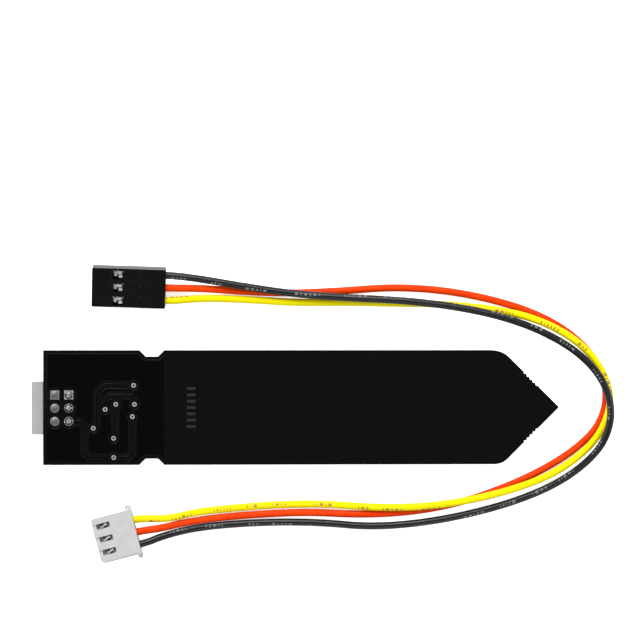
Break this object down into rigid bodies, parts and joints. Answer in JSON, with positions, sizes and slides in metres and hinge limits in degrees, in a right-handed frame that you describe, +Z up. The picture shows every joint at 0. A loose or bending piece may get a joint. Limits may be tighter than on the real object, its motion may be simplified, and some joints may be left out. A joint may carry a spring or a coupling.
{
  "type": "soil moisture sensor",
  "caption": "Flat pointed circuit-board probe that reads soil moisture by capacitance, with a side-entry header and a loose three-wire lead to a pin-socket housing.",
  "frame": {"origin": "on the surface the probe lies on, under the middle of the box round the probe (the lead is not counted)", "axes": "+X along the blade towards its point, +Y across the blade, +Z up out of the solder face"},
  "size_m": [0.1109, 0.0568, 0.0087],
  "materials": {
    "black_mask": "satin",
    "masked_copper": "satin",
    "dark_ink": "satin",
    "white_ink": "matte",
    "tinned_copper": "satin",
    "solder": "satin",
    "header_nylon": "satin",
    "plug_nylon": "satin",
    "black_nylon": "satin",
    "chip_epoxy": "matte",
    "tinned_lead": "satin",
    "tinned_pin": "polished",
    "tinned_contact": "polished",
    "resistor_glaze": "satin",
    "capacitor_ceramic": "satin",
    "black_pvc": "satin",
    "red_pvc": "satin",
    "yellow_pvc": "satin"
  },
  "bodies": {
    "sensor": {"back_ground_copper": "masked_copper", "back_traces": "masked_copper", "capacitor_1": "capacitor_ceramic", "capacitor_2": "capacitor_ceramic", "capacitor_3": "capacitor_ceramic", "capacitor_4": "capacitor_ceramic", "capacitor_5": "capacitor_ceramic", "capacitor_ends": "tinned_lead", "circuit_board": "black_mask", "component_lands": "tinned_copper", "depth_line": "white_ink", "diode_body": "chip_epoxy", "diode_leads": "tinned_lead", "front_traces": "masked_copper", "guard_electrode": "masked_copper", "header_hole_barrels": "tinned_copper", "header_housing": "header_nylon", "header_pin_1": "tinned_pin", "header_pin_2": "tinned_pin", "header_pin_3": "tinned_pin", "header_solder_joints": "solder", "lot_mark": "dark_ink", "regulator_body": "chip_epoxy", "regulator_leads": "tinned_lead", "resistor_1": "resistor_glaze", "resistor_2": "resistor_glaze", "resistor_3": "resistor_glaze", "resistor_4": "resistor_glaze", "resistor_ends": "tinned_lead", "sensing_electrode": "masked_copper", "spare_hole_barrels": "tinned_copper", "spare_hole_solder": "solder", "timer_ic_body": "chip_epoxy", "timer_ic_leads": "tinned_lead", "via_barrels": "tinned_copper"},
    "lead": {"plug_contact_1": "tinned_contact", "plug_contact_2": "tinned_contact", "plug_contact_3": "tinned_contact", "plug_housing": "plug_nylon", "socket_contact_1": "tinned_contact", "socket_contact_2": "tinned_contact", "socket_contact_3": "tinned_contact", "socket_housing": "black_nylon", "wire_black": "black_pvc", "wire_red": "red_pvc", "wire_yellow": "yellow_pvc"},
    "latch_tongue_1_body": {"latch_tongue_1": "black_nylon"},
    "latch_tongue_2_body": {"latch_tongue_2": "black_nylon"},
    "latch_tongue_3_body": {"latch_tongue_3": "black_nylon"}
  },
  "joints": [
    {"name": "lead_lift", "type": "slide", "parent": "sensor", "child": "lead", "axis": [0, 0, 1], "range_m": [0, 0.05]},
    {"name": "latch_tongue_1_lift", "type": "hinge", "parent": "lead", "child": "latch_tongue_1_body", "pos_m": [-0.02965, 0.02502, 0.0038], "axis": [0.0314, 0.9654, 0.2588], "range_deg": [0, 10], "stiffness_Nm_per_rad": 0.01},
    {"name": "latch_tongue_2_lift", "type": "hinge", "parent": "lead", "child": "latch_tongue_2_body", "pos_m": [-0.02973, 0.02257, 0.00314], "axis": [0.0314, 0.9654, 0.2588], "range_deg": [0, 10], "stiffness_Nm_per_rad": 0.01},
    {"name": "latch_tongue_3_lift", "type": "hinge", "parent": "lead", "child": "latch_tongue_3_body", "pos_m": [-0.02981, 0.02012, 0.00249], "axis": [0.0314, 0.9654, 0.2588], "range_deg": [0, 10], "stiffness_Nm_per_rad": 0.01}
  ]
}
